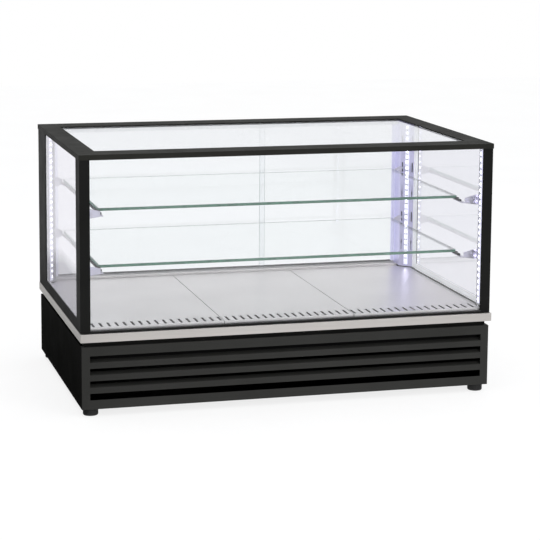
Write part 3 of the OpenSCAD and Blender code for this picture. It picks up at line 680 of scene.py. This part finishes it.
def deck_edging():
    """Dark rubber edging on the outer edge of the two side trays, between the uprights."""
    outline = [(-2, 0.1), (1.6, 0.1), (1.6, 2), (1, 2.8), (-1.4, 2.8), (-2, 2)]
    gap = 6 * MM
    front = box("upright_front_right")[1].y + gap
    rear = box("upright_rear_right")[0].y - gap
    for name, way in (("tray_left", -1), ("tray_right", 1)):
        low, high = box(name)
        edge = high.x if way > 0 else low.x
        bm = bmesh.new()
        strip(bm, in_mm(outline), Vector((edge, front, high.z)), Vector((edge, rear, high.z)),
              RIGHT * way, UP)
        add_piece(name.replace("tray", "deck_edging"), finished(bm), "black_plastic", name)


def corner_beads():
    """Pale beads in the rear corners, between the side glass and the liners behind it."""
    front, face = box("post_rear_right")[0].y, box("right_glass")[0].x
    low, high = box("side_sills")[1].z + 1.2 * MM, box("top_rail_front")[0].z - 1 * MM
    bm = bmesh.new()
    for way in (-1, 1):
        strip(bm, [(face - 3 * MM, 0), (face, 0), (face, -2.4 * MM), (face - 2.2 * MM, -1.2 * MM)],
              Vector((0, front, low)), Vector((0, front, high)), RIGHT * way, BACK)
    # The beads take the liner finish, with its painted glow
    add_piece("corner_beads", finished(bm), "liner_white")


def door_brush():
    """The brush seal on the bottom track, behind the doors."""
    low, high = box("door_track_bottom")
    y, tufts, margin = high.y - 9 * MM, 260, 6 * MM
    bm = bmesh.new()
    strip(bm, in_mm([(-2.5, 0), (2.5, 0), (2, 1.2), (-2, 1.2)]),
          Vector((low.x + 4 * MM, y, high.z)), Vector((high.x - 4 * MM, y, high.z)), BACK, UP)
    for i in range(tufts):
        x = low.x + margin + (high.x - low.x - 2 * margin) * i / (tufts - 1)
        slab(bm, Vector((x, y - 1.2 * MM, high.z + 2.5 * MM)), RIGHT, BACK, UP,
             1.9 * MM, 1.5 * MM, 2.4 * MM)
    add_piece("door_brush", finished(bm), "black_plastic")


TUB_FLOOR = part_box("floor_tub")[0][2] + SHEET


def fan_guards():
    """Round wire guards over the fans, on four legs each."""
    for name in ("fan_rotor_left", "fan_rotor_right"):
        low, high = box(name)
        centre = (low + high) / 2
        centre.z = high.z + 9 * MM
        bm = bmesh.new()
        for radius in (14, 26, 38, 50, 62):
            ring_wire(bm, centre, radius * MM, 1 * MM)
        for i in range(4):
            turn = math.radians(45 + 90 * i)
            out = Vector((math.cos(turn), math.sin(turn), 0))
            spoke = [centre + out * r * MM - UP * 1.6 * MM for r in (14, 30, 50, 66, 68.5)]
            foot = Vector((centre.x, centre.y, TUB_FLOOR + 1 * MM)) + out * 70 * MM
            wire(bm, spoke + [foot + UP * 12 * MM, foot + UP * 3 * MM, foot + out * 2 * MM,
                              foot + out * 10 * MM], 1.2 * MM)
        add_piece(name.replace("rotor", "guard"), finished(bm), "plate_steel")


def element_clips():
    """Spring clips that hold the four rods of the heating element, in three rows across the tub."""
    low, high = box("heating_element")
    first, last = low.y + 10 * MM, high.y - 10 * MM
    rods = [first + (last - first) * i / 3 for i in range(4)]
    level, round_rod = high.z - 4 * MM, 5.2 * MM
    leg = in_mm([(9, 1.2), (3, 1.2), (1.5, 4)])
    bm = bmesh.new()
    for x in (-0.36, 0.0, 0.36):
        for y in rods:
            ring = [Vector((x, y + round_rod * math.sin(a), level + round_rod * math.cos(a)))
                    for a in [math.radians(20 * k - 200) for k in range(21)]]
            wire(bm, [Vector((x, y - out, TUB_FLOOR + rise)) for out, rise in leg] + ring
                 + [Vector((x, y + out, TUB_FLOOR + rise)) for out, rise in leg[::-1]], 1.1 * MM)
    add_piece("element_clips", finished(bm), "plate_steel")


screw_heads()
ribbed_feet()
dial()
rocker_marks()
glass_seals()
deck_edging()
corner_beads()
door_brush()
fan_guards()
element_clips()


# ---- Studio ----


def soft_box(name, at, target, width, height, power):
    data = bpy.data.lights.new(name, "AREA")
    data.shape = "RECTANGLE"
    data.size, data.size_y = width, height
    data.energy = power
    light = bpy.data.objects.new(name, data)
    bpy.context.scene.collection.objects.link(light)
    light.location = at
    light.rotation_euler = (Vector(target) - Vector(at)).to_track_quat("-Z", "Y").to_euler()


def make_world():
    """White surroundings. What lights and mirrors in the object falls off to dark flags on both sides."""
    world = bpy.data.worlds.new("studio")
    bpy.context.scene.world = world
    s = Shader(world, "OutputWorld", "Generated")
    path = s.node("LightPath")
    direct = s.maths("MAXIMUM", path.outputs["Is Camera Ray"], path.outputs["Is Transmission Ray"])
    sideways = s.maths("ABSOLUTE", s.node("SeparateXYZ", {0: s.place}).outputs[0])
    around = s.node("Background", {"Color": rgb(0.97, 0.98, 1),
                                   "Strength": s.spread(sideways, 0.55, 0.95, 0.93, 0.08)})
    seen = s.node("Background", {"Color": rgb(1, 1, 1), "Strength": 1.0})
    s.finish(s.node("MixShader", {0: direct, 1: around.outputs[0], 2: seen.outputs[0]}))


def floor_paper():
    """White paper. Mirrored in the object, it has a dark flag close to the case's left side and ends
    far on the right."""
    s = shader("floor_paper")
    tone = s.mix(s.noise(3, 0, 1), rgb(0.19, 0.19, 0.19), rgb(0.21, 0.21, 0.21))
    split = s.node("SeparateXYZ", {0: s.place})
    across, away = split.outputs[0], split.outputs[1]
    from_flag = s.maths("ABSOLUTE", s.maths("ADD", across, 0.75))
    beside = s.spread(from_flag, 0.14, 0.19, 0.02, 1.0)
    beyond = s.spread(away, 1.8, 2.2, 0.0, 1.0)
    right = s.spread(across, 1.1, 1.6, 1.0, 0.1)
    paper = s.maths("MULTIPLY", s.maths("MAXIMUM", beside, beyond), right)
    path = s.node("LightPath")
    mirrored = s.maths("MAXIMUM", path.outputs["Is Glossy Ray"], path.outputs["Is Diffuse Ray"])
    outside = s.maths("SUBTRACT", 1.0, path.outputs["Is Transmission Ray"])
    shade = s.maths("MULTIPLY", s.maths("MULTIPLY", mirrored, outside), s.maths("SUBTRACT", 1.0, paper))
    light = s.maths("MULTIPLY", s.maths("SUBTRACT", 1.0, shade), 0.82)
    return s.finish(s.node("BsdfPrincipled", {
        "Base Color": tone, "Roughness": 0.9, "Specular IOR Level": 0.05,
        "Emission Color": rgb(1, 1, 1), "Emission Strength": light}))


def make_floor():
    bm = bmesh.new()
    bmesh.ops.create_grid(bm, x_segments=8, y_segments=8, size=9)
    data = bpy.data.meshes.new("floor")
    bm.to_mesh(data)
    bm.free()
    floor = bpy.data.objects.new("floor", data)
    bpy.context.scene.collection.objects.link(floor)
    floor.location.z = -0.5 * MM  # a little below the feet
    data.materials.append(floor_paper())


bpy.context.scene.view_settings.view_transform = "Standard"
make_world()
soft_box("key", (2.6, -4.2, 3.0), (0, 0, 0.3), 2.2, 1.6, 45)
soft_box("top", (0, -0.4, 3.4), (0, 0, 0.3), 3.0, 2.4, 30)
make_floor()
